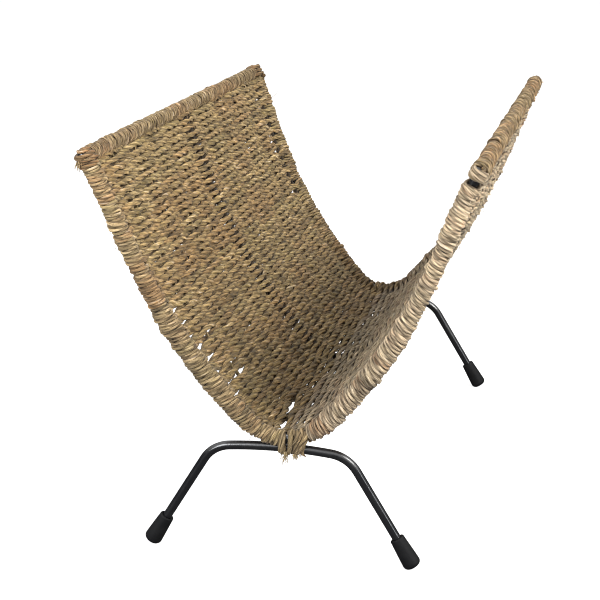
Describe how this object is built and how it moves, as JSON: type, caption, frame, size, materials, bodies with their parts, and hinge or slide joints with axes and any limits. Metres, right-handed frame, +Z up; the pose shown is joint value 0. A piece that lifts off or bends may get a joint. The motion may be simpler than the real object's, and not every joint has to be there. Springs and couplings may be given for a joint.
{
  "type": "magazine rack",
  "caption": "V-shaped magazine rack of woven twisted seagrass cord on bent black steel rod hoops and leg frames with rubber end caps.",
  "frame": {"origin": "on the ground, below the middle of the trough", "axes": "+Z up, +Y along the trough towards the rear hoop, +X across the trough to the right seen from the front"},
  "size_m": [0.2778, 0.4554, 0.2955],
  "materials": {
    "steel": "satin black powder coat",
    "rubber": "matt moulded rubber",
    "seagrass": "dry two-ply seagrass cord, golden khaki",
    "binding": "seagrass cord wound round the rods, lighter and warmer"
  },
  "bodies": {
    "root": {"front_leg_frame": "steel", "rear_leg_frame": "steel", "front_left_foot_cap": "rubber", "front_right_foot_cap": "rubber", "rear_left_foot_cap": "rubber", "rear_right_foot_cap": "rubber", "front_hoop": "steel", "rear_hoop": "steel", "left_top_rail": "steel", "left_rail_binding": "binding", "right_top_rail": "steel", "right_rail_binding": "binding", "front_hoop_weld_outer": "steel", "front_hoop_weld_inner": "steel", "rear_hoop_weld_outer": "steel", "rear_hoop_weld_inner": "steel", "front_left_corner_weld": "steel", "front_right_corner_weld": "steel", "rear_left_corner_weld": "steel", "rear_right_corner_weld": "steel", "front_lashing": "binding", "rear_lashing": "binding", "front_left_hoop_binding": "binding", "front_right_hoop_binding": "binding", "rear_left_hoop_binding": "binding", "rear_right_hoop_binding": "binding", "warp_1": "seagrass", "warp_2": "seagrass", "warp_3": "seagrass", "warp_4": "seagrass", "warp_5": "seagrass", "warp_6": "seagrass", "warp_7": "seagrass", "warp_8": "seagrass", "warp_9": "seagrass", "left_weft_band_1": "seagrass", "left_weft_band_2": "seagrass", "left_weft_band_3": "seagrass", "left_weft_band_4": "seagrass", "left_weft_band_5": "seagrass", "right_weft_band_1": "seagrass", "right_weft_band_2": "seagrass", "right_weft_band_3": "seagrass", "right_weft_band_4": "seagrass", "right_weft_band_5": "seagrass"}
  },
  "joints": []
}
